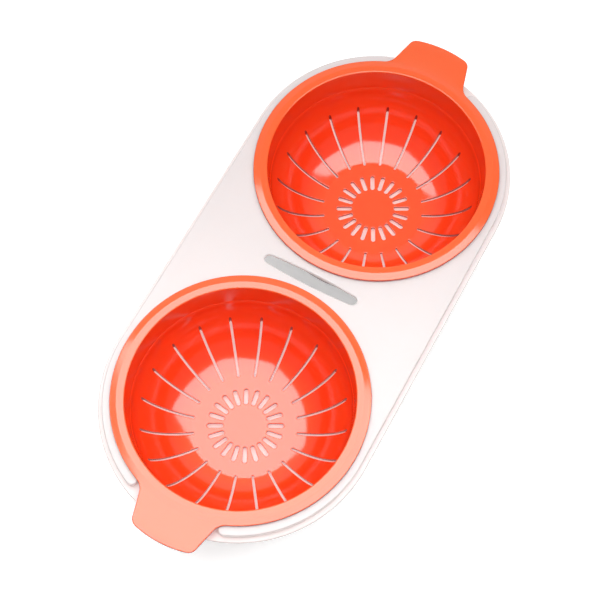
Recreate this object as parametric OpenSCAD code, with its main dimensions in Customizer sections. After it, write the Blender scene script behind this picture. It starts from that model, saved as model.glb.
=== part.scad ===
// Two-cup microwave egg cooker: a white water tray with two bowl-shaped wells,
// and two orange drain cups with finger tabs that stand in the wells.
// Millimetres, +X along the tray, +Z up, origin on the table under the tray's middle.

/* [Cup] */
// Diameter of the cup over its flange
cup_d = 100; // [96:1:104]
// Diameter of the cup's mouth
mouth_d = 88.6; // [84:0.2:90]
// Depth from the mouth's crown to the inner floor
cup_depth = 39.5; // [36:0.5:41]
// Diameter of the flat floor inside the cup
floor_d = 43.4; // [36:0.2:48]
// Thickness of the cup's wall and floor
cup_wall = 1.6; // [1.2:0.1:2]
// Thickness of the flange at its outer edge, and of the finger tab
flange_t = 1.5; // [1.2:0.1:1.8]

/* [Finger tab] */
// Reach of the tab's outer edge from the cup's axis
tab_reach = 63; // [58:0.5:66]
// Width of the tab at its root
tab_root_w = 31; // [26:0.5:33]
// Width of the tab near its outer edge
tab_end_w = 27; // [20:0.5:28]
// Turn of each cup in its well, away from the tray's long axis, in degrees
cup_turn = 1.4; // [-2:0.1:2]

/* [Drain slots] */
// Number of slots in the wall, and again in the floor
slot_count = 20; // [12:1:24]
// Width of a slot in the wall
wall_slot_w = 1.1; // [0.9:0.1:2]
// Width of a slot in the floor
floor_slot_w = 1.8; // [1:0.1:2.2]

/* [Tray] */
// Distance between the two cups' axes
cup_spacing = 111.2; // [110:0.2:116]
// Length of the tray over its lower flange
tray_l = 222; // [220:1:228]
// Width of the tray over its lower flange
tray_w = 109.2; // [108:0.2:114]
// Height of the deck's top above the table
deck_z = 44; // [42:0.5:48]
// Height of the step from the lower flange up to the deck
deck_step = 3; // [2:0.25:4]
// Distance of the deck's edge inside the flange's edge
flange_w = 1.9; // [1.5:0.1:3]
// Thickness of the tray's walls
tray_wall = 1.8; // [1.4:0.1:2.2]
// Gap between a cup's wall and its well
well_gap = 1.2; // [0.8:0.1:1.6]
// Width of the deck's notch round a finger tab
notch_w = 35.4; // [34:0.2:44]
// Length of the vent slot between the cups
vent_l = 41; // [30:1:50]
// Width of the vent slot at its middle
vent_w = 5.2; // [4.2:0.1:7]
// Radius of the vent slot's round ends
vent_tip = 1.9; // [1:0.1:2]

/* [Hidden] */
$fn = 96;

white = "#fbf3f1";
orange = "#ff4a1e";
eps = 0.01;
clear = 1;                                 // how far a cut runs past the surface it opens
slot_fn = 24;                              // facets round a slot's ends

// Cup section, from the axis outwards
cup_r = cup_d / 2;
mouth_r = mouth_d / 2;
seat_gap = 0.01;                           // play between the cup's flange and the deck
seat_z = deck_z + seat_gap;                // underside of the cup's flange
crown_rise = 0.5;                          // crown of the rim above the flange's edge
crown_z = deck_z + flange_t + crown_rise;
cup_floor_z = crown_z - cup_depth;
knee_r = mouth_r - 1;                      // where the straight band meets the bowl
knee_z = crown_z - 13.7;
bowl_h = knee_z - cup_floor_z;
floor_r = floor_d / 2;
// Centre and radius of the bowl's arc: level with the knee, through the floor's edge
bowl_r = (pow(knee_r - floor_r, 2) + pow(bowl_h, 2)) / (2 * (knee_r - floor_r));
bowl_cr = knee_r - bowl_r;
bowl_bands = 10;                           // conical bands that make up the bowl's arc
band_r = mouth_r - 0.7;                    // straight band, down to the fill line's ledge
band_z = crown_z - 11.7;
crown_w = 2.9;                             // width of the rim's flat crown
rim_round = 0.5;
crown_drop = 0.08;                         // fall of the crown's outer corner
edge_cut = 0.3;                            // small chamfer on the flange's top edge

// Drain slots, as radii in plan
wall_slot_in = floor_r - 0.6;
wall_slot_out = mouth_r - 2.9;
floor_slot_in = 9;
floor_slot_out = 15.7;
slot_pitch = 360 / slot_count;

// Finger tab
tab_corner = 3.6;
tab_bow = 1.2;                             // how far the tab's edge bows outwards
tab_fillet = 6;
tab_neck = 4.6;                            // distance of the root's width outside the flange

// Tray
flange_z = deck_z - deck_step;             // top of the lower flange
flange_bottom = flange_z - tray_wall;
flange_r = tray_w / 2;
deck_r = flange_r - flange_w;
tray_half = tray_l / 2 - flange_r;         // half the straight length of the outline
well_grow = cup_wall + well_gap;           // cup's inner face to well's inner face
well_mouth_r = mouth_r + well_grow;
cup_foot_gap = 1.6;                        // between the cup's floor and the well's
well_floor_z = cup_floor_z - cup_wall - cup_foot_gap;
foot_r = 18;
foot_w = 2.4;
notch_lead = 2;                            // length of the notch's corners, cut back at 45 degrees
notch_flare = 10;                          // how far the cut back runs out past the deck
notch_tip_x = tray_half + sqrt(pow(deck_r, 2) - pow(notch_w / 2, 2)) - notch_lead;

// Points of an arc about c from angle a to angle b
function arc(c, r, a, b, n = 8) =
    [for (i = [0:n]) c + r * [cos(a + (b - a) * i / n), sin(a + (b - a) * i / n)]];

// Half section of a solid bowl, its faces moved outwards by grow, from floor_z to top_z
module bowl_section(grow, floor_z, top_z) {
    top_r = knee_r + grow + (top_z - knee_z) * (mouth_r - knee_r) / (crown_z - knee_z);
    dip = asin((knee_z - floor_z) / (bowl_r + grow));
    polygon(concat(
        [[0, top_z], [0, floor_z]],
        arc([bowl_cr, knee_z], bowl_r + grow, -dip, 0, bowl_bands),
        [[top_r, top_z]]
    ));
}

// Half section of the cup's rim: a flat crown, then a slope down to the flange's edge
module rim_section() {
    polygon([
        [mouth_r - 2 * eps, seat_z],
        [cup_r, seat_z],
        [cup_r, deck_z + flange_t - edge_cut],
        [cup_r - edge_cut, deck_z + flange_t],
        [mouth_r + crown_w + rim_round, crown_z - crown_drop],
        [mouth_r + crown_w, crown_z],
        [mouth_r + rim_round, crown_z],
        [mouth_r, crown_z - rim_round]
    ]);
}

// A rounded slot along +X from radius a to radius b
module slot_outline(a, b, w) {
    translate([a + w / 2, -w / 2])
        square([b - a - w, w]);
    translate([a + w / 2, 0])
        circle(d = w, $fn = slot_fn);
    translate([b - w / 2, 0])
        circle(d = w, $fn = slot_fn);
}

// One side of the finger tab, from the middle of its edge to its root on the flange
module tab_half() {
    root_a = asin((tab_root_w / 2 + tab_fillet) / (cup_r + tab_fillet));
    fillet_c = (cup_r + tab_fillet) * [cos(root_a), sin(root_a)];
    lean = atan2((tab_root_w - tab_end_w) / 2, tab_reach - tab_bow - cup_r - tab_neck);
    corner_c = [tab_reach - tab_bow - tab_corner, tab_end_w / 2 - tab_corner];
    polygon(concat(
        [[0, 0], [tab_reach, 0]],
        [[tab_reach - tab_bow / 4, tab_end_w / 4]],
        arc(corner_c, tab_corner, 12, 90 - lean),
        arc(fillet_c, tab_fillet, 270 - lean, 180 + root_a)
    ));
}

module tab_plate() {
    translate([0, 0, seat_z])
        linear_extrude(flange_t - seat_gap)
            union() {
                tab_half();
                mirror([0, 1])
                    tab_half();
            }
}

// The drain cup about its own axis, with its tab along +X
module drain_cup() {
    difference() {
        union() {
            rotate_extrude()
                difference() {
                    union() {
                        bowl_section(cup_wall, cup_floor_z - cup_wall, seat_z + eps);
                        rim_section();
                    }
                    cup_inside_section();
                }
            difference() {
                tab_plate();
                translate([0, 0, deck_z - clear])
                    cylinder(r = cup_r - clear, h = flange_t + 2 * clear);
            }
        }
        for (i = [0:slot_count - 1])
            rotate(i * slot_pitch)
                translate([0, 0, -clear])
                    linear_extrude(knee_z)
                        slot_outline(wall_slot_in, wall_slot_out, wall_slot_w);
        for (i = [0:slot_count - 1])
            rotate((i + 0.5) * slot_pitch)
                translate([0, 0, -clear])
                    linear_extrude(knee_z)
                        slot_outline(floor_slot_in, floor_slot_out, floor_slot_w);
    }
}

// The space inside the cup, with the fill line's ledge
module cup_inside_section() {
    bowl_section(0, cup_floor_z, crown_z + clear);
    translate([0, band_z])
        square([band_r, crown_z - band_z]);
}

// Outline of the lower flange: two half circles joined by straight sides
module stadium(r) {
    for (s = [-1, 1])
        translate([s * tray_half, 0])
            circle(r = r);
    translate([-tray_half, -r])
        square([2 * tray_half, 2 * r]);
}

// Opening in the deck's end that clears a finger tab, its corners cut back at the deck's edge
module notch_outline(inset) {
    half_w = notch_w / 2 + inset;
    polygon([
        [cup_spacing / 2, -half_w],
        [notch_tip_x, -half_w],
        [notch_tip_x + notch_flare, -half_w - notch_flare],
        [notch_tip_x + notch_flare, half_w + notch_flare],
        [notch_tip_x, half_w],
        [cup_spacing / 2, half_w]
    ]);
}

// Outline of the raised deck, moved inwards by inset: open at both ends round the tabs
module deck_outline(inset) {
    difference() {
        stadium(deck_r - inset);
        notch_outline(inset);
        mirror([1, 0])
            notch_outline(inset);
    }
}

// Outline of the vent slot, across the tray: two shallow arcs joined by round ends
module vent_outline() {
    tip_y = vent_l / 2 - vent_tip;
    gap = vent_w / 2 - vent_tip;
    side_r = (pow(tip_y, 2) + pow(gap, 2)) / (2 * gap) + vent_tip;
    lean = asin(tip_y / (side_r - vent_tip));
    step = (180 - 2 * lean) / 10;
    polygon(concat(
        arc([vent_w / 2 - side_r, 0], side_r, -lean, lean, 16),
        arc([0, tip_y], vent_tip, lean + step, 180 - lean - step),
        arc([side_r - vent_w / 2, 0], side_r, 180 - lean, 180 + lean, 16),
        arc([0, -tip_y], vent_tip, 180 + lean + step, 360 - lean - step)
    ));
}

// A well about its own axis: bowl, flat floor and foot ring
module well_solid() {
    rotate_extrude()
        union() {
            bowl_section(well_grow + tray_wall, well_floor_z - tray_wall, flange_z - eps);
            translate([foot_r - foot_w, 0])
                square([foot_w, well_floor_z]);
        }
}

module well_space() {
    rotate_extrude()
        bowl_section(well_grow, well_floor_z, crown_z + clear);
}

module water_tray() {
    color(white)
        difference() {
            union() {
                translate([0, 0, flange_bottom])
                    linear_extrude(tray_wall)
                        stadium(flange_r);
                translate([0, 0, flange_bottom + eps])
                    linear_extrude(deck_z - flange_bottom - eps)
                        deck_outline(0);
                for (s = [-1, 1])
                    translate([s * cup_spacing / 2, 0, 0])
                        well_solid();
            }
            // Underside of the deck, left hollow between the wells and the edge
            translate([0, 0, flange_bottom - clear])
                linear_extrude(deck_z - tray_wall - flange_bottom + clear)
                    difference() {
                        deck_outline(tray_wall);
                        for (s = [-1, 1])
                            translate([s * cup_spacing / 2, 0])
                                circle(r = well_mouth_r + tray_wall);
                    }
            for (s = [-1, 1])
                translate([s * cup_spacing / 2, 0, 0])
                    well_space();
            translate([0, 0, deck_z - tray_wall - clear])
                linear_extrude(tray_wall + 2 * clear)
                    vent_outline();
        }
}

module drain_cup_left() {
    color(orange)
        translate([-cup_spacing / 2, 0, 0])
            rotate(180 + cup_turn)
                drain_cup();
}

module drain_cup_right() {
    color(orange)
        translate([cup_spacing / 2, 0, 0])
            rotate(cup_turn)
                drain_cup();
}

water_tray();
drain_cup_left();
drain_cup_right();
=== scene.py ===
"""A two-cup microwave egg cooker: a white water tray, and two orange drain cups that stand in it."""
import logging
from dataclasses import dataclass, field
from enum import Enum

import bmesh
import bpy
import numpy as np
from mathutils import Matrix, Vector
from mathutils.geometry import delaunay_2d_cdt


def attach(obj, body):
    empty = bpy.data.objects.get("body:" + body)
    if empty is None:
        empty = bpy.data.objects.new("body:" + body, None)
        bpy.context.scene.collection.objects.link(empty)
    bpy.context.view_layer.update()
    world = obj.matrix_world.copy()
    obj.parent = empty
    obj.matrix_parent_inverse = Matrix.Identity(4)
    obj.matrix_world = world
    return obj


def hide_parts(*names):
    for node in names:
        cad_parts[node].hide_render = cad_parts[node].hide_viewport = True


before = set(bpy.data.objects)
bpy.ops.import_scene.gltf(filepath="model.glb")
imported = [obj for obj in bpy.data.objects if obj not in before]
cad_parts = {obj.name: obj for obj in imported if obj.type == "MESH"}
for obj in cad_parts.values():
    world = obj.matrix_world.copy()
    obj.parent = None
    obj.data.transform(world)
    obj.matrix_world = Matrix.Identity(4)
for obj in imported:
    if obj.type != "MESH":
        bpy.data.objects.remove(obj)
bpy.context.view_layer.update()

log = logging.getLogger("egg_cooker")

MM = 0.001
WELD = 0.002 * MM
JOIN = 1e-5
TINY = 1e-6
CREASE = np.radians(38.0)

# Scales of the plastic's patterns, in cells a metre, and the part of each pattern's range in use
DRIFT_SCALE, DRIFT_LOW, DRIFT_HIGH = 22.0, 0.15, 0.85
SMEAR_SCALE, SMEAR_BEND, SMEAR_LOW, SMEAR_HIGH = 75.0, 0.6, 0.1, 0.9
SMOOTHEST, ROUGHEST = 0.9, 1.12
GRAIN_SCALE, GRAIN_DEPTH = 900.0, 0.03 * MM


class Side(Enum):
    """End of the tray that a cup stands at; the value is the sign of its x."""

    LEFT = -1
    RIGHT = 1


def add_node(tree: bpy.types.NodeTree, kind: str, **values: object) -> bpy.types.Node:
    """Add a node of a kind, with values for its inputs, where _ in an input's name means a space."""
    node = tree.nodes.new(kind)
    for label, value in values.items():
        node.inputs[label.replace("_", " ")].default_value = value
    return node


def at_height(plan: np.ndarray, z: float) -> np.ndarray:
    """Give points in plan a height."""
    return np.column_stack([plan, np.full(len(plan), z)])


@dataclass
class Shell:
    """A closed skin gathered from patches, in millimetres until it becomes an object."""

    points: list[np.ndarray] = field(default_factory=list)
    painted_light: list[np.ndarray] = field(default_factory=list)
    painted_glow_amount: list[np.ndarray] = field(default_factory=list)
    shade: list[np.ndarray] = field(default_factory=list)
    faces: list[np.ndarray] = field(default_factory=list)
    count: int = 0

    def add_points(
        self,
        points: np.ndarray,
        painted_light: np.ndarray | float = 0.0,
        painted_glow_amount: np.ndarray | float = 0.0,
        shade: np.ndarray | float = 0.0,
    ) -> int:
        """Append points and the look of the skin at each.

        Args:
            points: Positions, any shape that ends in 3.
            painted_light: How far its colour goes to the paler one, a painted light, for all or for each.
            painted_glow_amount: How strongly it glows there, a painted glow.
            shade: How far painted shade darkens it there.

        Returns:
            The index of the first new point.
        """
        flat = points.reshape(-1, 3)
        self.points.append(flat)
        for store, value in ((self.painted_light, painted_light), (self.painted_glow_amount, painted_glow_amount), (self.shade, shade)):
            store.append(np.broadcast_to(value, points.shape[:-1]).reshape(-1).astype(float))
        first = self.count
        self.count += len(flat)
        return first

    def add_grid(
        self,
        points: np.ndarray,
        around: bool = True,
        keep: np.ndarray | None = None,
        painted_light: np.ndarray | float = 0.0,
        painted_glow_amount: np.ndarray | float = 0.0,
        shade: np.ndarray | float = 0.0,
    ) -> np.ndarray:
        """Append a grid of quads: cell (i, j) joins rows i and i + 1, columns j and j + 1.

        Args:
            points: Rows by columns by 3.
            around: Whether the last column joins the first.
            keep: Which cells have a face, or None for all.
            painted_light: How far each point's colour goes to the paler one, a painted light.
            painted_glow_amount: How strongly it glows there, a painted glow.
            shade: How far painted shade darkens each point.

        Returns:
            The index of every point, rows by columns.
        """
        rows, cols = points.shape[:2]
        index = self.add_points(points, painted_light, painted_glow_amount, shade) + np.arange(rows * cols).reshape(rows, cols)
        here = index if around else index[:, :-1]
        ahead = np.roll(index, -1, 1) if around else index[:, 1:]
        quads = np.stack([here[:-1], ahead[:-1], ahead[1:], here[1:]], -1)
        self.faces.append(quads[keep] if keep is not None else quads.reshape(-1, 4))
        return index

    def add_flat(self, loops: list[np.ndarray], z: float, painted_glow_amount: float = 0.0) -> None:
        """Append a level face between closed loops, by constrained Delaunay triangles.

        A triangle is kept where a ray from its middle crosses the loops an odd number of times.

        Args:
            loops: The outer loop and any holes, each n by 2.
            z: Height of the face.
            painted_glow_amount: How strongly the face glows, a painted glow.
        """
        plan = np.concatenate(loops)
        sizes = np.array([len(loop) for loop in loops])
        ends = np.cumsum(sizes)
        ring = np.arange(len(plan))
        after = ring + 1
        after[ends - 1] = ends - sizes
        edges = np.stack([ring, after], 1)
        coords, _, tris, _, _, _ = delaunay_2d_cdt(
            [Vector(p) for p in plan.tolist()], edges.tolist(), [], 0, JOIN
        )
        flat = np.array([tuple(c) for c in coords])
        tris = np.array(tris)
        mid = flat[tris].mean(1)
        a, b = plan[edges[:, 0]], plan[edges[:, 1]]
        spans = (a[:, 1] > mid[:, 1:2]) != (b[:, 1] > mid[:, 1:2])
        rise = np.where(a[:, 1] == b[:, 1], 1.0, b[:, 1] - a[:, 1])
        cross_x = a[:, 0] + (mid[:, 1:2] - a[:, 1]) * (b[:, 0] - a[:, 0]) / rise
        inside = (spans & (cross_x > mid[:, 0:1])).sum(1) % 2 == 1
        first = self.add_points(at_height(flat, z), painted_glow_amount=painted_glow_amount)
        self.faces.append(first + tris[inside])

    def to_object(self, name: str, finish: bpy.types.Material) -> bpy.types.Object:
        """Weld the patches, turn every face outwards and make the object.

        Args:
            name: The object's name.
            finish: Its material.

        Returns:
            The object, at the origin, with smooth shading and creases kept sharp.
        """
        mesh = bpy.data.meshes.new(name)
        faces = [row for block in self.faces for row in block.tolist()]
        mesh.from_pydata((np.concatenate(self.points) * MM).tolist(), [], faces)
        # Amounts of painted light, painted glow and painted shade at each point
        for label, values in (("painted_light", self.painted_light), ("painted_glow_amount", self.painted_glow_amount), ("shade", self.shade)):
            layer = mesh.attributes.new(label, "FLOAT", "POINT")
            layer.data.foreach_set("value", np.concatenate(values))
        work = bmesh.new()
        work.from_mesh(mesh)
        bmesh.ops.remove_doubles(work, verts=work.verts, dist=WELD)
        loose = [v for v in work.verts if not v.link_faces]
        bmesh.ops.delete(work, geom=loose, context="VERTS")
        bmesh.ops.recalc_face_normals(work, faces=work.faces)
        if work.calc_volume(signed=True) < 0:
            bmesh.ops.reverse_faces(work, faces=work.faces)
        open_edges = sum(not e.is_manifold for e in work.edges)
        work.to_mesh(mesh)
        work.free()
        mesh.shade_smooth()
        mesh.set_sharp_from_angle(angle=CREASE)
        mesh.materials.append(finish)
        piece = bpy.data.objects.new(name, mesh)
        bpy.context.collection.objects.link(piece)
        log.info("%s: %d faces, %d open edges", name, len(mesh.polygons), open_edges)
        return piece


@dataclass(frozen=True)
class Plastic:
    """A moulded plastic: its colours, gloss, and how far light goes into it.

    The colour drifts between colour and deep, goes to pale, a painted light, where wear is 1, and
    to dull, a painted shade, where shade is 1. It glows in the colour through, as strong as lit times
    painted_glow_strength, a painted glow.
    """

    name: str
    colour: tuple[float, float, float]
    deep: tuple[float, float, float]
    pale: tuple[float, float, float]
    painted_shade: tuple[float, float, float]
    roughness: float
    ior: float
    glow: float
    glow_reach: tuple[float, float, float]
    glow_scale: float
    mould_grain: float
    painted_glow: tuple[float, float, float]
    painted_glow_strength: float

    def make(self) -> bpy.types.Material:
        """Build the node tree: a slow drift in colour and gloss, a fine mould grain, painted light,
        painted shade and a painted glow.

        Returns:
            The material.
        """
        mat = bpy.data.materials.new(self.name)
        mat.use_nodes = True
        tree, links = mat.node_tree, mat.node_tree.links
        shader = tree.nodes["Principled BSDF"]
        place = tree.nodes.new("ShaderNodeTexCoord").outputs["Object"]

        drift = add_node(tree, "ShaderNodeTexNoise", Scale=DRIFT_SCALE, Detail=2.0)
        links.new(place, drift.inputs["Vector"])
        tone = tree.nodes.new("ShaderNodeValToRGB")
        ends = ((DRIFT_LOW, self.deep), (DRIFT_HIGH, self.colour))
        for element, (position, paint) in zip(tone.color_ramp.elements, ends):
            element.position = position
            element.color = (*paint, 1.0)
        links.new(drift.outputs["Fac"], tone.inputs["Fac"])
        skin = tone.outputs["Color"]
        # Painted light turns the colour towards the paler one, painted shade towards the dark one
        for label, paint in (("painted_light", self.pale), ("shade", self.painted_shade)):
            amount = tree.nodes.new("ShaderNodeAttribute")
            amount.attribute_name = label
            mix = tree.nodes.new("ShaderNodeMix")
            mix.data_type = "RGBA"
            links.new(amount.outputs["Fac"], mix.inputs["Factor"])
            links.new(skin, mix.inputs[6])
            mix.inputs[7].default_value = (*paint, 1.0)
            skin = mix.outputs[2]
        links.new(skin, shader.inputs["Base Color"])

        smear = add_node(tree, "ShaderNodeTexNoise", Scale=SMEAR_SCALE, Detail=4.0, Distortion=SMEAR_BEND)
        links.new(place, smear.inputs["Vector"])
        gloss = add_node(
            tree,
            "ShaderNodeMapRange",
            From_Min=SMEAR_LOW,
            From_Max=SMEAR_HIGH,
            To_Min=self.roughness * SMOOTHEST,
            To_Max=self.roughness * ROUGHEST,
        )
        links.new(smear.outputs["Fac"], gloss.inputs["Value"])
        links.new(gloss.outputs["Result"], shader.inputs["Roughness"])

        grain = add_node(tree, "ShaderNodeTexNoise", Scale=GRAIN_SCALE, Detail=3.0)
        links.new(place, grain.inputs["Vector"])
        bump = add_node(tree, "ShaderNodeBump", Strength=self.mould_grain, Distance=GRAIN_DEPTH)
        links.new(grain.outputs["Fac"], bump.inputs["Height"])
        links.new(bump.outputs["Normal"], shader.inputs["Normal"])

        # Painted glow: emission in its own colour, as strong as the point's glow amount times the
        # plastic's glow strength
        painted_glow_amount = tree.nodes.new("ShaderNodeAttribute")
        painted_glow_amount.attribute_name = "painted_glow_amount"
        painted_glow = tree.nodes.new("ShaderNodeMath")
        painted_glow.operation = "MULTIPLY"
        painted_glow.inputs[1].default_value = self.painted_glow_strength
        links.new(painted_glow_amount.outputs["Fac"], painted_glow.inputs[0])
        links.new(painted_glow.outputs["Value"], shader.inputs["Emission Strength"])
        shader.inputs["Emission Color"].default_value = (*self.painted_glow, 1.0)
        shader.inputs["IOR"].default_value = self.ior
        shader.inputs["Subsurface Weight"].default_value = self.glow
        shader.inputs["Subsurface Radius"].default_value = self.glow_reach
        shader.inputs["Subsurface Scale"].default_value = self.glow_scale
        return mat


ORANGE = Plastic(
    name="orange_plastic",
    colour=(0.91, 0.058, 0.009),
    deep=(0.88, 0.050, 0.008),
    # The paler orange is painted light on rims, floors and slot edges; the dark red is painted shade
    pale=(0.96, 0.138, 0.028),
    painted_shade=(0.36, 0.025, 0.012),
    roughness=0.12,
    ior=1.85,
    glow=0.25,
    glow_reach=(1.0, 0.3, 0.12),
    glow_scale=4.0 * MM,
    mould_grain=0.12,
    painted_glow=(1.0, 0.3, 0.1),
    painted_glow_strength=0.0,
)
WHITE = Plastic(
    name="white_plastic",
    colour=(0.715, 0.645, 0.641),
    deep=(0.70, 0.631, 0.627),
    # The paler white is painted light on the wells' outside, the grey is painted shade, and the pink
    # below is the painted glow's colour
    pale=(0.77, 0.745, 0.735),
    painted_shade=(0.42, 0.38, 0.38),
    roughness=0.24,
    ior=1.5,
    glow=0.5,
    glow_reach=(1.0, 0.8, 0.75),
    glow_scale=6.0 * MM,
    mould_grain=0.12,
    painted_glow=(1.0, 0.80, 0.75),
    painted_glow_strength=0.36,
)


@dataclass(frozen=True)
class Path:
    """Points in plan with, at each, the unit vector across the path into the material.

    Every piece of the path is a line or an arc, so moving its points along these vectors
    gives the exact parallel path.
    """

    at: np.ndarray
    into: np.ndarray

    def inset(self, distance: np.ndarray | float) -> np.ndarray:
        """Give the points moved into the material by a distance."""
        return self.at + self.into * np.reshape(distance, (-1, 1))

    def level(self, distance: np.ndarray | float, z: float) -> np.ndarray:
        """Give the points moved into the material by a distance, at a height."""
        return at_height(self.inset(distance), z)

    def part(self, first: int, last: int) -> "Path":
        """Give the points from first up to, not including, last."""
        return Path(self.at[first:last], self.into[first:last])

    def then(self, other: "Path") -> "Path":
        """Join another path to this one's end, with the shared point given once."""
        at = np.concatenate([self.at, other.at[1:]])
        return Path(at, np.concatenate([self.into, other.into[1:]]))

    def flipped(self, sx: float, sy: float) -> "Path":
        """Mirror the path by the signs and run it the other way."""
        sign = np.array([sx, sy])
        return Path((self.at * sign)[::-1], (self.into * sign)[::-1])

    def closed_from_quarter(self) -> "Path":
        """Mirror a quarter path, from the y axis to the x axis, into one closed loop."""
        half = self.then(self.flipped(1, -1))
        whole = half.then(half.flipped(-1, 1))
        return whole.part(0, len(whole.at) - 1)


def arc_path(
    centre: tuple[float, float], radius: float, start: float, stop: float, n: int, convex: bool
) -> Path:
    """Give an arc: centre plus radius times the unit vector at evenly spaced angles.

    Args:
        centre: The arc's centre in plan.
        radius: Its radius.
        start: First angle, in degrees.
        stop: Last angle, in degrees.
        n: Number of steps.
        convex: Whether the material is on the centre's side.

    Returns:
        The path.
    """
    a = np.radians(np.linspace(start, stop, n + 1))
    u = np.stack([np.cos(a), np.sin(a)], 1)
    return Path(np.array(centre) + radius * u, -u if convex else u)


def line_path(
    a: tuple[float, float], b: tuple[float, float], into: tuple[float, float], n: int
) -> Path:
    """Give a straight path from a to b in n steps, with one vector into the material."""
    t = np.linspace(0, 1, n + 1)[:, None]
    at = np.array(a) * (1 - t) + np.array(b) * t
    return Path(at, np.broadcast_to(into, (n + 1, 2)).astype(float))


def quarter_round(edge: float, steps: int) -> tuple[np.ndarray, np.ndarray]:
    """Give a quarter circle's inset and drop, from the flat (inset edge) to the wall (inset 0).

    Args:
        edge: Radius of the rounded edge.
        steps: Number of steps.

    Returns:
        Insets edge times (1 - sin a), and drops edge times (1 - cos a), for a from 0 to 90 degrees.
    """
    a = np.linspace(0, np.pi / 2, steps + 1)
    return edge * (1 - np.sin(a)), edge * (1 - np.cos(a))


@dataclass
class Bowl:
    """The bowl shape that cup and well share: an arc from the knee down to a flat floor."""

    knee_r: float = 43.3
    knee_z: float = 32.3
    arc_r: float = 26.2

    def height(self, r: np.ndarray, grow: float, floor: float) -> np.ndarray:
        """Give z over plan radius r: knee height less the arc's half chord, never below the floor.

        Args:
            r: Radii in plan.
            grow: How far the surface is outside the cup's inner face.
            floor: Height of the flat floor.

        Returns:
            Heights.
        """
        radius = self.arc_r + grow
        out = np.clip(r - (self.knee_r - self.arc_r), 0.0, radius)
        return np.maximum(self.knee_z - np.sqrt(radius**2 - out**2), floor)

    def arc(self, grow: float, start: float, stop: float, n: int) -> np.ndarray:
        """Give n points (r, z) of the arc, by even angles below the knee in degrees."""
        a = np.radians(np.linspace(start, stop, n))
        radius = self.arc_r + grow
        centre = self.knee_r - self.arc_r
        return np.stack([centre + radius * np.cos(a), self.knee_z - radius * np.sin(a)], 1)

    def dip(self, grow: float, r: float) -> float:
        """Give the angle below the knee, in degrees, where the arc has plan radius r."""
        return float(np.degrees(np.arccos((r - self.knee_r + self.arc_r) / (self.arc_r + grow))))


@dataclass
class Slots:
    """One ring of radial drain slots with round ends, one in every pitch."""

    inner: float
    outer: float
    width: float
    edge: float = 0.2
    least: float = 0.1

    def half_width(self, r: np.ndarray) -> np.ndarray:
        """Give the opening's half width at radius r: half the width, less in the round ends."""
        w = self.width / 2
        past = np.maximum(np.maximum(self.inner + w - r, r - self.outer + w), 0.0)
        return np.maximum(np.sqrt(np.maximum(w**2 - past**2, 0.0)), self.least)

    def distance(self, r: np.ndarray, angle: np.ndarray) -> np.ndarray:
        """Give the distance from the opening's edge, in plan, of the point at r and angle."""
        w = self.width / 2
        x, y = r * np.cos(angle), r * np.sin(angle)
        past = x - np.clip(x, self.inner + w, self.outer - w)
        return np.hypot(past, y) - w

    def end_radii(self) -> np.ndarray:
        """Give radii that resolve an end: outside the opening, at its tip, and round its end."""
        outside = self.edge * np.array([-1.8, -1.0, -0.55, -0.2])
        tip = self.width / 2 * (1 - np.cos(np.radians([0.0, 30.0, 52.0, 72.0, 90.0])))
        return np.concatenate([outside, tip])

    def radii(self, run: np.ndarray) -> np.ndarray:
        """Give every radius of the slot's rows, with run as those between its round ends."""
        ends = self.end_radii()
        return np.concatenate([self.inner + ends, run, self.outer - ends[::-1]])


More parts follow.
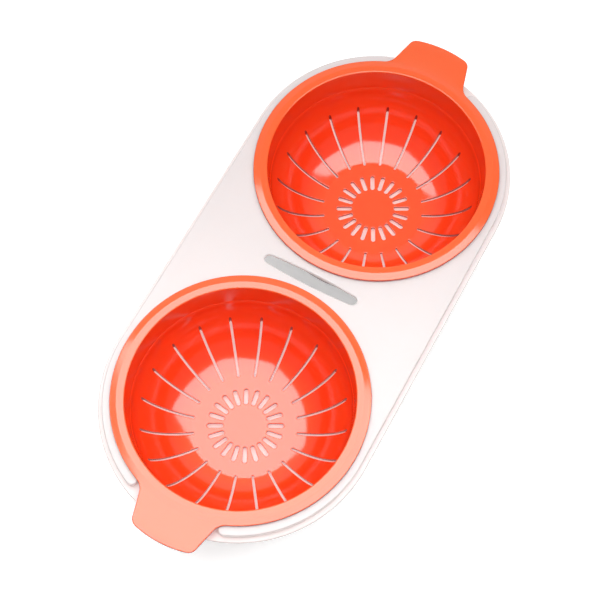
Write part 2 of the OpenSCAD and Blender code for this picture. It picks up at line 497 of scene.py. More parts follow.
@dataclass
class DrainCup:
    """A bowl-shaped cup with a flanged rim, a finger tab and two rings of drain slots."""

    name: str
    body: str
    node: str
    side: Side
    axis_x: float = 55.6
    turn: float = 1.4
    bowl: Bowl = field(default_factory=Bowl)
    wall: float = 1.6
    floor_z: float = 6.5
    floor_r: float = 21.7
    crown_z: float = 46.0
    mouth_r: float = 44.3
    crown_w: float = 2.9
    crown_dish: float = 0.1
    mouth_edge: float = 0.55
    ledge_z: float = 34.3
    ledge_w: float = 0.09
    cup_r: float = 50.0
    flange_top: float = 45.5
    flange_under: float = 44.03
    top_edge: float = 0.35
    under_edge: float = 0.2
    skirt_bend: float = 0.5
    shoulder_r: float = 49.5
    tab_reach: float = 63.0
    tab_bow: float = 1.2
    tab_root_w: float = 31.0
    tab_end_w: float = 27.0
    tab_corner: float = 3.6
    tab_fillet: float = 6.0
    tab_neck: float = 4.6
    corner_start: float = 14.0
    tab_steps: int = 24
    pitches: int = 20
    # Paler orange, a painted light, on the rim, the floor and the slots' edges; painted shade on the
    # flange's edge and down the slot walls
    rim_pale: float = 0.8
    floor_pale: float = 0.5
    pale_fade: float = 10.0
    slot_shade: tuple[float, float] = (0.08, 0.85)
    edge_shade: float = 0.6
    wall_slots: Slots = field(default_factory=lambda: Slots(21.1, 41.4, 1.05, edge=0.15))
    floor_slots: Slots = field(default_factory=lambda: Slots(9.0, 15.7, 1.8))
    middle_rows: tuple[float, ...] = (0.0, 3.0, 6.0, 8.0)
    between_rows: tuple[float, ...] = (17.4, 19.2)
    slot_supports: tuple[float, float] = (0.22, 0.1)
    squeeze_in: tuple[float, float, float] = (16.0, 4.0, 0.4)
    slot_pale: float = 0.5
    ledge_turn: float = 0.12

    def slotted_radii(self) -> np.ndarray:
        """Give the plan radii that the inner and outer surface share, over both rings of slots."""
        wall, floor = self.wall_slots, self.floor_slots
        steep = self.bowl.dip(0, wall.inner + wall.width / 2)
        flat = self.bowl.dip(0, wall.outer - wall.width / 2)
        run = self.bowl.arc(0, steep, flat, 16)[1:-1, 0]
        short = np.linspace(floor.inner + floor.width / 2, floor.outer - floor.width / 2, 5)[1:-1]
        return np.concatenate([
            self.middle_rows, floor.radii(short), self.between_rows, wall.radii(run),
        ])

    def columns(self, r: np.ndarray, even: np.ndarray) -> np.ndarray:
        """Give the angle of every column at each row.

        Over the slots, the columns follow a slot's edges and its rounding: at radius r a column
        at distance d from the slot's middle line has angle asin(d / r). Towards the rim they
        blend into even steps.

        Args:
            r: Plan radius of each row.
            even: For each row, 0 where columns follow the slots and 1 where they are even.

        Returns:
            Angles in radians, rows by columns.
        """
        half_pitch = np.pi / self.pitches
        sides = []
        for slots, support in zip((self.wall_slots, self.floor_slots), self.slot_supports):
            near = np.clip(r, slots.inner, slots.outer)
            steps = slots.edge * np.array([0.0, 0.3, 0.65, 1.0])
            off = slots.half_width(near)[:, None] + np.append(steps, slots.edge + support)
            angle = np.arcsin(off / near[:, None])
            sides.append(np.column_stack([np.zeros(len(r)), angle]))
        # Near the floor slots, the wall slots' columns close up to leave them room
        start, run, least = self.squeeze_in
        squeeze = np.clip((r - start) / run, least, 1.0)[:, None]
        wall, floor = sides[0] * squeeze, half_pitch - sides[1][:, ::-1]
        t = np.array([1.0, 2.0]) / 3.0
        gap = wall[:, -1:] * (1 - t) + floor[:, :1] * t
        half = np.concatenate([wall, gap, floor], 1)
        pitch = np.concatenate([half, 2 * half_pitch - half[:, -2:0:-1]], 1)
        steady = np.linspace(0, 2 * half_pitch, pitch.shape[1], endpoint=False)
        pitch = pitch * (1 - even[:, None]) + steady * even[:, None]
        turns = np.arange(self.pitches) * 2 * half_pitch
        return (turns[None, :, None] + pitch[:, None, :]).reshape(len(r), -1)

    def softened(self, r: np.ndarray, angle: np.ndarray) -> np.ndarray:
        """Give how far a surface sinks beside a slot: a quarter circle of the edge's radius."""
        pitch = 2 * np.pi / self.pitches
        sink = np.zeros_like(angle)
        for slots, turn in ((self.wall_slots, 0.0), (self.floor_slots, pitch / 2)):
            local = (angle - turn + pitch / 2) % pitch - pitch / 2
            clear = np.clip(slots.edge - slots.distance(r[:, None], local), 0.0, slots.edge)
            sink = np.maximum(sink, slots.edge - np.sqrt(slots.edge**2 - clear**2))
        return sink

    def bowl_rows(
        self, r: np.ndarray, grow: float, floor: float, sign: float
    ) -> tuple[np.ndarray, np.ndarray]:
        """Give the slotted part of the inner or outer surface.

        Args:
            r: Plan radius of each row.
            grow: How far the surface is outside the inner face.
            floor: Height of the floor.
            sign: 1 if sinking moves the surface outwards, -1 if inwards.

        Returns:
            Points, rows by columns by 3, and how pale each is, a painted highlight on the slots' softened
            edges.
        """
        z = self.bowl.height(r, grow, floor)
        centre = self.bowl.knee_r - self.bowl.arc_r
        radius = self.bowl.arc_r + grow
        steep = z > floor + TINY
        nr = np.where(steep, (r - centre) / radius, 0.0)
        nz = np.where(steep, (z - self.bowl.knee_z) / radius, -1.0)
        angle = self.columns(r, np.zeros(len(r)))
        sink = self.softened(r, angle)
        rr = r[:, None] + sign * sink * nr[:, None]
        zz = z[:, None] + sign * sink * nz[:, None]
        edge_light = np.clip(sink / self.wall_slots.edge, 0, 1) * self.slot_pale
        return np.stack([rr * np.cos(angle), rr * np.sin(angle), zz], -1), edge_light

    def turned(self, profile: np.ndarray, even: np.ndarray) -> np.ndarray:
        """Turn a profile of (r, z) rows about the axis along the columns' angles."""
        angle = self.columns(profile[:, 0], even)
        r = profile[:, 0:1]
        z = np.broadcast_to(profile[:, 1:2], angle.shape)
        return np.stack([r * np.cos(angle), r * np.sin(angle), z], -1)

    def rim_profile(self) -> np.ndarray:
        """Give the section from above the knee to the shoulder: ledge, band, crown and slope.

        The crown falls by crown_dish towards the mouth, and each corner has a row on either side.

        Returns:
            Rows of (r, z).
        """
        slope = 1.0 / (self.crown_z - self.bowl.knee_z)
        ledge_r = self.bowl.knee_r + (self.ledge_z - self.bowl.knee_z) * slope
        band_r = ledge_r + self.ledge_w
        turn, drop = quarter_round(self.ledge_turn, 2)
        lip = np.stack([ledge_r + turn[::-1], self.ledge_z - drop[::-1]], 1)
        inset, fall = quarter_round(self.mouth_edge, 6)
        top_r = self.mouth_r + self.mouth_edge
        mouth_z = self.crown_z - self.crown_dish
        mouth = np.stack([top_r - (self.mouth_edge - inset[::-1]), mouth_z - fall[::-1]], 1)
        crown_out = self.mouth_r + self.crown_w
        t = np.array([0.0, 0.1, 0.5, 0.9, 1.0])
        outer = np.stack([
            crown_out + 0.25 + (self.shoulder_r - crown_out - 0.25) * t,
            self.crown_z - 0.05 - (self.crown_z - 0.05 - self.flange_top - 0.02) * t,
        ], 1)
        band = [
            [band_r - 0.06, self.ledge_z],
            [band_r, self.ledge_z + 0.08],
            [band_r + 0.02, self.ledge_z + 0.8],
            [band_r + 0.1, self.ledge_z + 5.0],
            [self.mouth_r - 0.02, mouth_z - self.mouth_edge - 0.6],
        ]
        crown = [
            [top_r + 0.3, mouth_z + 0.015],
            [crown_out - 0.3, self.crown_z - 0.01],
            [crown_out, self.crown_z],
        ]
        return np.concatenate([lip, band, mouth, crown, outer])

    def tab_outline(self) -> tuple[np.ndarray, float]:
        """Give half the tab's edge, from its middle to the rim: bow, corner, side, root fillet.

        Returns:
            The points, and the angle about the cup's axis where the fillet meets the rim, in degrees.
        """
        away = self.cup_r + self.tab_fillet
        root = np.degrees(np.arcsin((self.tab_root_w / 2 + self.tab_fillet) / away))
        run = self.tab_reach - self.tab_bow - self.cup_r - self.tab_neck
        lean = np.degrees(np.arctan2((self.tab_root_w - self.tab_end_w) / 2, run))
        corner = (self.tab_reach - self.tab_bow - self.tab_corner, self.tab_end_w / 2 - self.tab_corner)
        start = self.corner_start
        aim = np.array([np.cos(np.radians(start)), np.sin(np.radians(start))])
        meet = np.array(corner) + self.tab_corner * aim
        sag = self.tab_reach - meet[0]
        bow_r = (sag**2 + meet[1] ** 2) / (2 * sag)
        steps = self.tab_steps
        turn = np.degrees(np.arcsin(meet[1] / bow_r))
        bow = arc_path((self.tab_reach - bow_r, 0), bow_r, 0, turn, steps, True)
        round_end = arc_path(corner, self.tab_corner, start, 90 - lean, steps, True)
        fillet_c = (away * np.cos(np.radians(root)), away * np.sin(np.radians(root)))
        fillet = arc_path(fillet_c, self.tab_fillet, 270 - lean, 180 + root, steps, False)
        return np.concatenate([bow.at, round_end.at, fillet.at]), root

    def edge_path(self, angle: np.ndarray, spread: float = 27.0) -> Path:
        """Give the flange's outer edge, one point a column: the tab's edge, then the circle.

        Within spread degrees of the tab's middle the points share the edge's length evenly.

        Args:
            angle: Angle of each column, in radians.
            spread: Half angle that the tab's points take up, in degrees.

        Returns:
            The edge as a path.
        """
        tab, root = self.tab_outline()
        rest = arc_path((0, 0), self.cup_r, root, spread, 12, True).at[1:]
        line = np.concatenate([tab, rest])
        along = np.concatenate([[0], np.cumsum(np.hypot(*np.diff(line, axis=0).T))])
        signed = (angle + np.pi) % (2 * np.pi) - np.pi
        share = np.abs(np.degrees(signed)) / spread
        x = np.interp(share * along[-1], along, line[:, 0])
        y = np.interp(share * along[-1], along, line[:, 1]) * np.sign(signed)
        on_tab = share < 1
        x = np.where(on_tab, x, self.cup_r * np.cos(angle))
        y = np.where(on_tab, y, self.cup_r * np.sin(angle))
        at = np.stack([x, y], 1)
        tangent = np.roll(at, -1, 0) - np.roll(at, 1, 0)
        tangent /= np.linalg.norm(tangent, axis=1, keepdims=True)
        into = np.stack([-tangent[:, 1], tangent[:, 0]], 1)
        return Path(at, into)

    def flange_rows(self) -> np.ndarray:
        """Give the flange and tab: top, rounded outer edge, underside, and the bend to the wall.

        Between the shoulder and the edge a point is shoulder times (1 - t) plus edge times t.

        Returns:
            Points, rows by columns by 3.
        """
        angle = self.columns(np.array([self.cup_r]), np.ones(1))[0]
        edge = self.edge_path(angle)
        shoulder = self.shoulder_r * np.stack([np.cos(angle), np.sin(angle)], 1)
        top, under = edge.inset(self.top_edge), edge.inset(self.under_edge)
        rows = [at_height(shoulder * (1 - t) + top * t, self.flange_top) for t in (0.35, 0.75)]
        for inset, fall in zip(*quarter_round(self.top_edge, 5)):
            rows.append(edge.level(inset, self.flange_top - fall))
        for inset, fall in reversed(list(zip(*quarter_round(self.under_edge, 3)))):
            rows.append(edge.level(inset, self.flange_under + fall))
        rows += [at_height(shoulder * (1 - t) + under * t, self.flange_under) for t in (0.5, 0.0)]
        wall_r = self.mouth_r - self.ledge_w + self.wall
        inset, fall = quarter_round(self.skirt_bend, 4)
        skirt = np.concatenate([
            [[wall_r + 1.4, self.flange_under]],
            np.stack([wall_r + inset, self.flange_under - fall], 1),
            [[wall_r - 0.1, self.flange_under - 4.0]],
        ])
        return np.concatenate([np.stack(rows), self.turned(skirt, np.ones(len(skirt)))])

    def build(self) -> Shell:
        """Make the cup's skin: inner surface, rim, flange and tab, outer surface, slot walls.

        Returns:
            The shell, in place.
        """
        radii = self.slotted_radii()
        n = len(radii)
        inner, inner_edge_light = self.bowl_rows(radii, 0, self.floor_z, 1)
        outer, outer_edge_light = self.bowl_rows(radii, self.wall, self.floor_z - self.wall, -1)
        last = radii[-1]
        up = self.bowl.arc(0, self.bowl.dip(0, last), 0, 7)[1:]
        down = self.bowl.arc(self.wall, 0, self.bowl.dip(self.wall, last), 8)[:-1]
        rim = self.rim_profile()
        skin = np.concatenate([
            inner,
            self.turned(up, np.linspace(0, 1, 7)[1:]),
            self.turned(rim, np.ones(len(rim))),
            self.flange_rows(),
            self.turned(down, np.linspace(1, 0, 8)[:-1]),
            outer[::-1],
        ])

        # Painted light: the floor, fading up the wall, the slots' softened edges and the rim and tab take
        # the paler orange. Painted shade: the flange's upright outer edge is darker.
        pale = np.zeros(skin.shape[:2])
        height = np.clip((radii - self.floor_r) / self.pale_fade, 0, 1)[:, None]
        pale[:n] = np.maximum(inner_edge_light, self.floor_pale * (1 - height))
        pale[-n:] = outer_edge_light[::-1]
        reach, z = np.hypot(skin[..., 0], skin[..., 1]), skin[..., 2]
        pale[(z > self.flange_top - 0.2) & (reach > self.mouth_r)] = self.rim_pale
        upright = (z > self.flange_under + 0.05) & (z < self.flange_top - 0.12)
        painted_shade = (upright & (reach > self.shoulder_r)) * self.edge_shade

        per_pitch = skin.shape[1] // self.pitches
        first_col = np.arange(self.pitches) * per_pitch
        keep = np.ones((skin.shape[0] - 1, skin.shape[1]), bool)
        holes = []
        for slots, shift in ((self.wall_slots, 0), (self.floor_slots, per_pitch // 2)):
            a, b = np.searchsorted(radii, [slots.inner - TINY, slots.outer - TINY])
            middle = (first_col + shift)[:, None]
            cols = (middle + np.array([-1, 0])) % skin.shape[1]
            top = np.arange(a, b)
            for band in (top, len(skin) - 2 - top):
                keep[band[:, None, None], cols[None]] = False
            holes.append((a, b, middle[:, 0]))

        c, s = self.side.value * np.array([np.cos(np.radians(self.turn)), np.sin(np.radians(self.turn))])
        placed = skin.copy()
        placed[..., 0] = c * skin[..., 0] - s * skin[..., 1] + self.side.value * self.axis_x
        placed[..., 1] = s * skin[..., 0] + c * skin[..., 1]
        shell = Shell()
        index = shell.add_grid(placed, keep=keep, painted_light=pale, shade=painted_shade)
        for a, b, middle in holes:
            self.add_slot_walls(shell, placed, index, a, b, middle)
        return shell

    def add_slot_walls(
        self, shell: Shell, placed: np.ndarray, index: np.ndarray, a: int, b: int, middle: np.ndarray
    ) -> None:
        """Join the inner surface's slot edges to the outer surface's, with upright quads.

        Args:
            shell: The cup's skin.
            placed: Position of every point, rows by columns by 3.
            index: Index of every point, rows by columns.
            a: First row of the slot.
            b: Its last row.
            middle: Its middle column, for each slot.
        """
        cols = index.shape[1]
        rows = np.arange(a, b + 1)
        ones = np.ones_like(rows)
        loop_r = np.concatenate([rows, [b], rows[::-1], [a], [a]])
        loop_c = np.concatenate([ones, [0], -ones, [0], [1]])
        col = (middle[:, None] + loop_c) % cols
        low_r = len(index) - 1 - loop_r
        top, bottom = placed[loop_r, col], placed[low_r, col]
        chain = [index[loop_r, col]]
        # Two rings down each slot wall carry painted shade, so the wall between them is dark
        for t in self.slot_shade:
            ring = top + (bottom - top) * t
            chain.append(shell.add_points(ring, shade=1.0) + np.arange(col.size).reshape(col.shape))
        chain.append(index[low_r, col])
        for here, ahead in zip(chain, chain[1:]):
            quads = np.stack([here[:, :-1], here[:, 1:], ahead[:, 1:], ahead[:, :-1]], -1)
            shell.faces.append(quads.reshape(-1, 4))

    def dress(self, finish: bpy.types.Material) -> bpy.types.Object:
        """Make the object, tie it to its body and hide its CAD node.

        Args:
            finish: The orange plastic.

        Returns:
            The object.
        """
        piece = self.build().to_object(self.name, finish)
        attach(piece, self.body)
        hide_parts(self.node)
        return piece


@dataclass
class WaterTray:
    """The one-piece tray: a raised deck on a low flange, two wells with foot rings, a vent slot."""

    name: str = "white_water_tray"
    body: str = "tray"
    node: str = "water_tray"
    bowl: Bowl = field(default_factory=Bowl)
    axis_x: float = 55.6
    half: float = 56.4
    flange_r: float = 54.6
    deck_r: float = 52.7
    deck_z: float = 44.0
    flange_z: float = 41.0
    under_z: float = 39.2
    wall: float = 1.8
    well_r: float = 47.1
    well_grow: float = 2.8
    well_floor: float = 3.3
    brim_z: float = 40.2
    notch: float = 17.7
    horn: float = 2.3
    corner: float = 2.2
    edge: float = 0.5
    low_edge: float = 0.3
    support: float = 0.15
    vent_l: float = 41.0
    vent_w: float = 5.2
    vent_tip: float = 1.9
    # Painted glow on the vent's wall, the step, the flange and inside the wells; painted shade lines
    # along the deck's and flange's edges
    vent_glow: float = 0.5
    step_glow: float = 0.3
    line_shade: float = 0.55
    glow_fade: float = 9.0
    foot_out: float = 18.0
    foot_in: float = 15.6
    foot_edge: float = 0.4

    def shared_edge(self) -> Path:
        """Give a quarter of the deck's edge: side, end, horn, notch side, and the inner corner.

        Returns:
            The path, from the y axis to the well.
        """
        reach = self.deck_r - self.horn
        horn_y = self.notch + self.horn
        horn_c = (self.half + np.sqrt(reach**2 - horn_y**2), horn_y)
        horn_a = np.degrees(np.arctan2(horn_y, horn_c[0] - self.half))
        out = self.well_r + self.corner
        corner_y = self.notch + self.corner
        corner_c = (self.axis_x + np.sqrt(out**2 - corner_y**2), corner_y)
        path = line_path((0, self.deck_r), (self.half, self.deck_r), (0, -1), 12)
        path = path.then(arc_path((self.half, 0), self.deck_r, 90, horn_a, 64, True))
        path = path.then(arc_path(horn_c, self.horn, horn_a, -90, 14, True))
        path = path.then(line_path((horn_c[0], self.notch), (corner_c[0], self.notch), (0, 1), 2))
        return path.then(arc_path(corner_c, self.corner, -90, -180 + self.meet_angle(), 8, True))

    def meet_angle(self) -> float:
        """Give the angle about the well's axis, in degrees, where the corner meets the well."""
        return float(np.degrees(np.arcsin((self.notch + self.corner) / (self.well_r + self.corner))))

    def vent_path(self) -> Path:
        """Give the vent slot's edge: two shallow arcs joined by small round tips."""
        tip_y = self.vent_l / 2 - self.vent_tip
        gap = self.vent_w / 2 - self.vent_tip
        big = (tip_y**2 + gap**2) / (2 * gap) + self.vent_tip
        lean = np.degrees(np.arcsin(tip_y / (big - self.vent_tip)))
        tip = arc_path((0, tip_y), self.vent_tip, 90, lean, 6, False)
        side = arc_path((self.vent_w / 2 - big, 0), big, lean, 0, 24, False)
        return tip.then(side).closed_from_quarter()

    def build(self) -> Shell:
        """Make the tray's skin: deck, step, flange, wells and their undersides.

        Returns:
            The shell, in place.
        """
        shell = Shell()
        shared = self.shared_edge()
        meet = self.meet_angle()
        long_arc = arc_path((self.axis_x, 0), self.well_r, meet, 180, 96, False)
        short_arc = arc_path((self.axis_x, 0), self.well_r, meet, 0, 24, False)
        deck = shared.then(long_arc).closed_from_quarter()
        inner = shared.then(short_arc).closed_from_quarter()
        rim = line_path((0, self.flange_r), (self.half, self.flange_r), (0, -1), 12)
        rim = rim.then(arc_path((self.half, 0), self.flange_r, 90, 0, 96, True)).closed_from_quarter()
        vent = self.vent_path()

        # Deck top, rounded over its edge and into the vent slot
        soft = list(zip(*quarter_round(self.edge, 5)))
        flat = self.edge + self.support
        top = [deck.level(flat, self.deck_z)] + [deck.level(i, self.deck_z - d) for i, d in soft]
        top += [deck.level(0, self.deck_z - 0.9), deck.level(0, self.flange_z + 0.4)]
        top.append(deck.level(0, self.flange_z))
        # Painted shade: a dark line at the foot of the deck's rounded edge; painted glow from there down
        # the step
        lines = np.array([0, 0, 0, 0, 0.5, 1, 1, 0, 0, 0]) * self.line_shade
        glow = np.array([0, 0, 0, 0, 0, 0.5, 1, 1, 1, 1]) * self.step_glow
        self.add_strip(shell, top, painted_glow_amount=glow, shade=lines)
        shell.add_flat([deck.inset(flat), vent.inset(flat)], self.deck_z)
        ceiling = self.deck_z - self.wall
        small = list(zip(*quarter_round(self.low_edge, 3)))
        low_flat = self.low_edge + self.support
        slot = [vent.level(flat, self.deck_z)] + [vent.level(i, self.deck_z - d) for i, d in soft]
        slot += [vent.level(i, ceiling + d) for i, d in reversed(small)]
        slot.append(vent.level(low_flat, ceiling))
        # Painted glow on the vent slot's wall
        glow = np.array([0, 0, 0, 0, 0, 0.5, 1, 1, 1, 1, 1, 0]) * self.vent_glow
        self.add_strip(shell, slot, painted_glow_amount=glow)

        # Flange top, its outer edge, and its rounding into the wells between the notches' corners
        share = np.linspace(0, 1, len(short_arc.at))
        ease = self.edge * np.clip(share * 5, 0, 1) ** 2 * (3 - 2 * np.clip(share * 5, 0, 1))
        taper = np.concatenate([np.zeros(len(shared.at) - 1), ease])
        taper = np.concatenate([taper, taper[-2::-1]])
        taper = np.concatenate([taper, taper[-2:0:-1]])
        plate = inner.at + np.sign(taper)[:, None] * inner.into * taper[:, None]
        outer = [rim.level(flat, self.flange_z)] + [rim.level(i, self.flange_z - d) for i, d in soft]
        outer += [rim.level(i, self.under_z + d) for i, d in reversed(small)]
        outer.append(rim.level(low_flat, self.under_z))
        # Painted shade: a dark line round the flange's outer edge; painted glow on the whole flange
        lines = np.array([0, 0, 0, 0, 0.5, 1, 1, 0.4, 0, 0, 0, 0]) * self.line_shade
        self.add_strip(shell, outer, painted_glow_amount=self.step_glow, shade=lines)
        shell.add_flat([rim.inset(flat), plate], self.flange_z, painted_glow_amount=self.step_glow)
        # Painted glow on the band from the flange down to each well's brim, fading to none at the brim
        low_glow = np.array([[self.step_glow], [0.0]])
        for sx in (1, -1):
            self.add_brim(shell, short_arc, ease, sx)
            band = long_arc.then(long_arc.flipped(1, -1))
            rows = np.stack([band.level(0, self.flange_z), band.level(0, self.brim_z)])
            shell.add_grid(rows * np.array([sx, 1, 1]), around=False, painted_glow_amount=low_glow)

        # Underside: hollow behind the deck, then the flange's underside
        self.add_strip(shell, [deck.level(self.wall, ceiling), deck.level(self.wall, self.under_z)])
        shell.add_flat([deck.inset(self.wall), vent.inset(low_flat)], ceiling)
        shell.add_flat([rim.inset(low_flat), inner.inset(self.wall)], self.under_z)

        full = self.well_ring(long_arc, short_arc)
        for sx in (1, -1):
            self.add_well(shell, full, sx)
        return shell

    def well_ring(self, long_arc: Path, short_arc: Path) -> np.ndarray:
        """Give the unit vectors of the well's columns: the long arc's points, then the short's."""
        half = np.concatenate([long_arc.at, (long_arc.at * [1, -1])[-2::-1]])
        short = np.concatenate([(short_arc.at * [1, -1])[1:], short_arc.at[-2:0:-1]])
        unit = np.concatenate([half, short]) - np.array([self.axis_x, 0])
        return unit / np.linalg.norm(unit, axis=1, keepdims=True)

    def add_strip(
        self,
        shell: Shell,
        loops: list[np.ndarray],
        painted_glow_amount: np.ndarray | float = 0.0,
        shade: np.ndarray | float = 0.0,
    ) -> None:
        """Join closed loops, each to the next, with quads.

        Args:
            shell: The tray's skin.
            loops: The loops, all with as many points.
            painted_glow_amount: How strongly each loop glows, a painted glow.
            shade: How far painted shade darkens each loop.
        """
        shell.add_grid(np.stack(loops), painted_glow_amount=np.reshape(painted_glow_amount, (-1, 1)), shade=np.reshape(shade, (-1, 1)))

    def add_brim(self, shell: Shell, arc: Path, ease: np.ndarray, sx: int) -> None:
        """Round the flange's top over into a well across one notch.

        Args:
            shell: The tray's skin.
            arc: The short arc, from the notch's corner to the x axis.
            ease: Radius of the rounding at each of its points.
            sx: 1 for the right well, -1 for the left.
        """
        a = np.linspace(0, np.pi / 2, 6)[:, None]
        plan = arc.at[None] + (ease * (1 - np.sin(a)))[..., None] * arc.into[None]
        z = self.flange_z - ease * (1 - np.cos(a))
        rows = np.concatenate([plan, z[..., None]], -1)
        rows = np.concatenate([rows, at_height(arc.at, self.brim_z)[None]])
        # Painted glow on the rounding, none at the brim row
        glow = self.step_glow * (np.arange(len(rows)) < len(rows) - 1)[:, None]
        for sy in (1, -1):
            shell.add_grid(rows * np.array([sx, sy, 1]), around=False, painted_glow_amount=glow)

    def add_well(self, shell: Shell, unit: np.ndarray, sx: int) -> None:
        """Turn the well's inner and outer profile about its axis.

        Args:
            shell: The tray's skin.
            unit: Unit vectors of the columns.
            sx: 1 for the right well, -1 for the left.
        """
        grow, out = self.well_grow, self.well_grow + self.wall
        bottom = self.well_floor - self.wall
        inside = np.concatenate([
            [[self.well_r, self.brim_z], [self.well_r - 0.45, 36.5]],
            self.bowl.arc(grow, 0, 90, 30),
            [[10.0, self.well_floor], [4.0, self.well_floor], [0.0, self.well_floor]],
        ])
        dip = self.bowl.dip(out, self.foot_out)
        inset, rise = quarter_round(self.foot_edge, 3)
        foot_outer = np.stack([self.foot_out - inset[::-1], rise[::-1]], 1)
        foot_inner = np.stack([self.foot_in + inset, rise], 1)
        outside = np.concatenate([
            [[self.well_r + self.wall, self.under_z], [self.well_r + self.wall - 0.4, 36.5]],
            self.bowl.arc(out, 0, dip, 30),
            foot_outer,
            foot_inner,
            [[self.foot_in, bottom], [8.0, bottom], [0.0, bottom]],
        ])
        # Painted glow inside the well, growing to full over the fade depth below the brim; painted light
        # on the outside, which takes the paler white
        for profile, painted_glow_amount, outside_light in ((inside, 1.0, 0.0), (outside, 0.0, 1.0)):
            plan = profile[:, None, 0:1] * unit[None] + np.array([self.axis_x, 0])
            z = np.broadcast_to(profile[:, None, 1:2], (*plan.shape[:2], 1))
            glow = painted_glow_amount * np.clip((self.brim_z - profile[:, 1:2]) / self.glow_fade, 0, 1)
            shell.add_grid(np.concatenate([plan, z], -1) * np.array([sx, 1, 1]), painted_light=outside_light, painted_glow_amount=glow)

    def dress(self, finish: bpy.types.Material) -> bpy.types.Object:
        """Make the object, tie it to its body and hide its CAD node.

        Args:
            finish: The white plastic.

        Returns:
            The object.
        """
        piece = self.build().to_object(self.name, finish)
        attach(piece, self.body)
        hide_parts(self.node)
        return piece


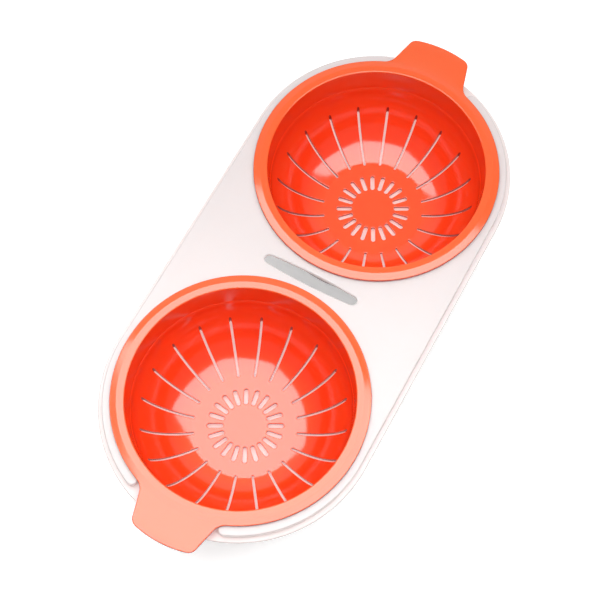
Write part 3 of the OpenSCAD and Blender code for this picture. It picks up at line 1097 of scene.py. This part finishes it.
@dataclass
class Studio:
    """A white table top, one overhead softbox, white surroundings and the camera."""

    floor_size: float = 6.0
    lens: float = 82.76
    sensor: float = 36.0
    camera_at: tuple[float, float, float] = (-0.18237, -0.10323, 0.54653)
    camera_right: tuple[float, float, float] = (0.4831, -0.8755, -0.0128)
    camera_up: tuple[float, float, float] = (0.8154, 0.4445, 0.3709)
    view_turn: float = 29.5
    box_far: tuple[float, float] = (0.162, 0.445)
    box_near: tuple[float, float] = (-0.75, 1.245)
    box_width: float = 0.9
    box_aside: float = 0.02
    box_slant: float = -14.0
    box_power: float = 11.8
    sky_near: float = 0.22
    sky_far: float = 0.6
    floor_lift: float = 0.32
    table: float = 0.95
    table_roughness: float = 0.9
    bounce: float = 0.85
    fade_start: float = 0.25
    fade_end: float = 0.85
    backdrop: float = 1.0
    air: tuple[float, float, float] = (1.0, 0.99, 0.985)

    def floor(self) -> None:
        """Lay the pale table top, a wide level square."""
        h = self.floor_size / 2
        mesh = bpy.data.meshes.new("table_top")
        mesh.from_pydata([(-h, -h, 0), (h, -h, 0), (h, h, 0), (-h, h, 0)], [], [(0, 1, 2, 3)])
        mat = bpy.data.materials.new("table_white")
        mat.use_nodes = True
        tree = mat.node_tree
        shader = tree.nodes["Principled BSDF"]
        shader.inputs["Base Color"].default_value = (self.table, self.table, self.table, 1)
        shader.inputs["Roughness"].default_value = self.table_roughness
        shader.inputs["Emission Color"].default_value = (1, 1, 1, 1)
        shader.inputs["Emission Strength"].default_value = self.floor_lift
        matt = add_node(tree, "ShaderNodeBsdfDiffuse", Color=(self.bounce, self.bounce, self.bounce, 1))
        output = tree.nodes["Material Output"].inputs["Surface"]
        self.split(tree, matt.outputs["BSDF"], shader.outputs["BSDF"], output)
        mesh.materials.append(mat)
        floor = bpy.data.objects.new("table_top", mesh)
        bpy.context.collection.objects.link(floor)

    def split(
        self,
        tree: bpy.types.NodeTree,
        light: bpy.types.NodeSocket,
        seen: bpy.types.NodeSocket,
        output: bpy.types.NodeSocket,
    ) -> None:
        """Let one shader light the object and another be seen behind it.

        Args:
            tree: The node tree.
            light: Output of the shader that lights the object.
            seen: Output of the shader that is seen.
            output: The tree's surface input.
        """
        path = tree.nodes.new("ShaderNodeLightPath")
        pick = tree.nodes.new("ShaderNodeMixShader")
        tree.links.new(path.outputs["Is Camera Ray"], pick.inputs["Fac"])
        tree.links.new(light, pick.inputs[1])
        tree.links.new(seen, pick.inputs[2])
        tree.links.new(pick.outputs["Shader"], output)

    def softbox(self) -> None:
        """Hang the oblong softbox over the tray along the view, tilted with its far end lower and turned
        a little off the view's line.
        """
        far, near = np.array(self.box_far), np.array(self.box_near)
        middle = (far + near) / 2
        run = far - near
        lamp = bpy.data.lights.new("softbox", "AREA")
        lamp.shape = "RECTANGLE"
        lamp.size, lamp.size_y = float(np.hypot(*run)), self.box_width
        lamp.energy = self.box_power
        box = bpy.data.objects.new("softbox", lamp)
        turn = np.radians(self.view_turn)
        away, left = np.array([np.cos(turn), np.sin(turn)]), np.array([-np.sin(turn), np.cos(turn)])
        box.location = (*(middle[0] * away + self.box_aside * left), middle[1])
        slant = np.radians(self.view_turn + self.box_slant)
        box.rotation_euler = (0.0, float(np.arctan2(-run[1], run[0])), slant)
        bpy.context.collection.objects.link(box)

    def surroundings(self) -> None:
        """Fill the world with white that brightens away from the camera, before a white backdrop."""
        world = bpy.data.worlds.new("white_room")
        world.use_nodes = True
        tree, links = world.node_tree, world.node_tree.links
        back = tree.nodes["Background"]
        back.inputs["Color"].default_value = (*self.air, 1)
        place = tree.nodes.new("ShaderNodeTexCoord")
        along = tree.nodes.new("ShaderNodeVectorMath")
        along.operation = "DOT_PRODUCT"
        turn = np.radians(self.view_turn)
        along.inputs[1].default_value = (np.cos(turn), np.sin(turn), 0.0)
        fade = add_node(
            tree,
            "ShaderNodeMapRange",
            From_Min=self.fade_start,
            From_Max=self.fade_end,
            To_Min=self.sky_near,
            To_Max=self.sky_far,
        )
        fade.interpolation_type = "SMOOTHSTEP"
        links.new(place.outputs["Generated"], along.inputs[0])
        links.new(along.outputs["Value"], fade.inputs["Value"])
        links.new(fade.outputs["Result"], back.inputs["Strength"])
        seen = add_node(tree, "ShaderNodeBackground", Strength=self.backdrop, Color=(*self.air, 1))
        output = tree.nodes["World Output"].inputs["Surface"]
        self.split(tree, back.outputs["Background"], seen.outputs["Background"], output)
        bpy.context.scene.world = world

    def camera(self) -> None:
        """Set up the camera, which looks down over the left cup's end of the tray."""
        data = bpy.data.cameras.new("camera")
        data.lens = self.lens
        data.sensor_width = self.sensor
        cam = bpy.data.objects.new("camera", data)
        right = Vector(self.camera_right).normalized()
        up = Vector(self.camera_up)
        up = (up - right * up.dot(right)).normalized()
        back = right.cross(up)
        turn = Matrix((right, up, back)).transposed().to_4x4()
        cam.matrix_world = Matrix.Translation(self.camera_at) @ turn
        bpy.context.collection.objects.link(cam)
        bpy.context.scene.camera = cam

    def set_up(self) -> None:
        """Put the whole studio in place, with colours shown as they are."""
        self.camera()
        self.floor()
        self.softbox()
        self.surroundings()
        bpy.context.scene.view_settings.view_transform = "Standard"


def main() -> None:
    """Build the studio, the tray and both cups, and report each piece."""
    logging.basicConfig(level=logging.INFO, format="%(name)s: %(message)s")
    Studio().set_up()
    orange, white = ORANGE.make(), WHITE.make()
    tray = WaterTray()
    tray.dress(white)
    log.info("built %s on body %s", tray.name, tray.body)
    cups = [
        DrainCup("orange_drain_cup_left", "left_cup", "drain_cup_left", Side.LEFT),
        DrainCup("orange_drain_cup_right", "right_cup", "drain_cup_right", Side.RIGHT),
    ]
    for cup in cups:
        cup.dress(orange)
        log.info("built %s on body %s", cup.name, cup.body)


if __name__ == "__main__":
    main()
